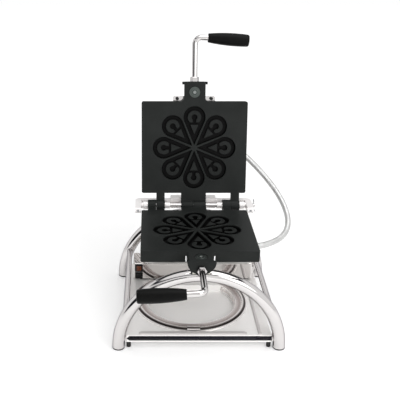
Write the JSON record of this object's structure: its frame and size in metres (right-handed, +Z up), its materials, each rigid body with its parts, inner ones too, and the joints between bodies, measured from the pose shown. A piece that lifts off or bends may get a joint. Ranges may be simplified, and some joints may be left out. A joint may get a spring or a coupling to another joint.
{
  "type": "rotating waffle maker",
  "caption": "Countertop waffle iron: two hinged square plates with a flower of drop pockets turn over on an arched tube stand, above a drip pan and a control box.",
  "frame": {"origin": "on the floor, at the middle of the object's footprint box without its conduit", "axes": "+Z up, -Y towards the operator and the lower handle, +X to the operator's right"},
  "size_m": [0.398, 0.4804, 0.5752],
  "materials": {
    "plate_coating": "dark non-stick coated casting",
    "chrome": "bright chrome-plated steel",
    "polished_stainless": "mirror-polished stainless sheet",
    "satin_stainless": "satin stainless sheet",
    "black_grip": "black phenolic, satin",
    "black_rubber": "matt black rubber",
    "bronze": "turned bronze",
    "steel_screw": "bright zinc-plated steel",
    "switch_black": "gloss black plastic",
    "lamp_amber": "dark amber translucent plastic",
    "saddle_polymer": "low-friction polymer",
    "mica": "mica board",
    "ceramic": "glazed ceramic",
    "element_sheath": "heat-darkened steel sheath",
    "conduit_metal": "flexible metal conduit"
  },
  "bodies": {
    "stand": {"front_arch": "chrome", "rear_arch": "chrome", "side_rails": "chrome", "foot_caps": "black_rubber", "front_saddle": "saddle_polymer", "rear_bearing": "chrome", "rear_bush": "bronze", "base_tray": "polished_stainless", "stop_strip": "polished_stainless", "leg_spacers": "chrome", "tray_feet": "black_rubber", "control_housing": "polished_stainless", "box_base": "satin_stainless", "box_pads": "black_rubber", "switch_body": "switch_black", "lamp_body": "switch_black", "lamp_lens": "lamp_amber", "box_terminal_strip": "ceramic", "mains_gland": "switch_black"},
    "rotor": {"lower_plate": "plate_coating", "lower_heater_cover": "satin_stainless", "lower_cover_screws": "steel_screw", "lower_heating_element": "element_sheath", "lower_insulation_sheet": "mica", "lower_thermostat": "steel_screw", "lower_terminal_box": "satin_stainless", "lower_terminal_block": "ceramic", "lower_conduit_gland": "chrome", "lower_handle_rod": "chrome", "lower_handle_nut": "chrome", "lower_grip": "black_grip", "lower_lock_screw": "steel_screw", "hinge_yoke": "chrome", "yoke_set_screws": "steel_screw", "rear_hub": "chrome", "rear_shaft": "steel_screw", "shaft_collar": "chrome", "hinge_pin": "chrome", "pin_collars": "chrome", "split_pin": "steel_screw", "conduit": "conduit_metal"},
    "lid": {"upper_plate": "plate_coating", "upper_heater_cover": "satin_stainless", "upper_cover_screws": "steel_screw", "upper_heating_element": "element_sheath", "upper_insulation_sheet": "mica", "upper_thermostat": "steel_screw", "upper_terminal_box": "satin_stainless", "upper_terminal_block": "ceramic", "upper_conduit_gland": "chrome", "upper_handle_rod": "chrome", "upper_handle_nut": "chrome", "upper_grip": "black_grip", "upper_lock_screw": "steel_screw", "cover_strap": "chrome", "strap_buffers": "black_rubber"},
    "pan": {"drip_pan": "polished_stainless"},
    "rocker": {"switch_rocker": "switch_black"}
  },
  "joints": [
    {"name": "iron_turn", "type": "hinge", "parent": "stand", "child": "rotor", "pos_m": [0, 0.18365, 0.2036], "axis": [0, 1, 0], "range_deg": [-35, 35]},
    {"name": "lid_hinge", "type": "hinge", "parent": "rotor", "child": "lid", "pos_m": [0, 0.1404, 0.2036], "axis": [1, 0, 0], "range_deg": [0, 101], "deforming": ["conduit"]},
    {"name": "pan_lift", "type": "slide", "parent": "stand", "child": "pan", "axis": [0, 0, 1], "range_m": [0, 0.06]},
    {"name": "rocker_press", "type": "hinge", "parent": "stand", "child": "rocker", "pos_m": [-0.1245, 0.10565, 0.0415], "axis": [-1, 0, 0], "range_deg": [0, 14]}
  ]
}
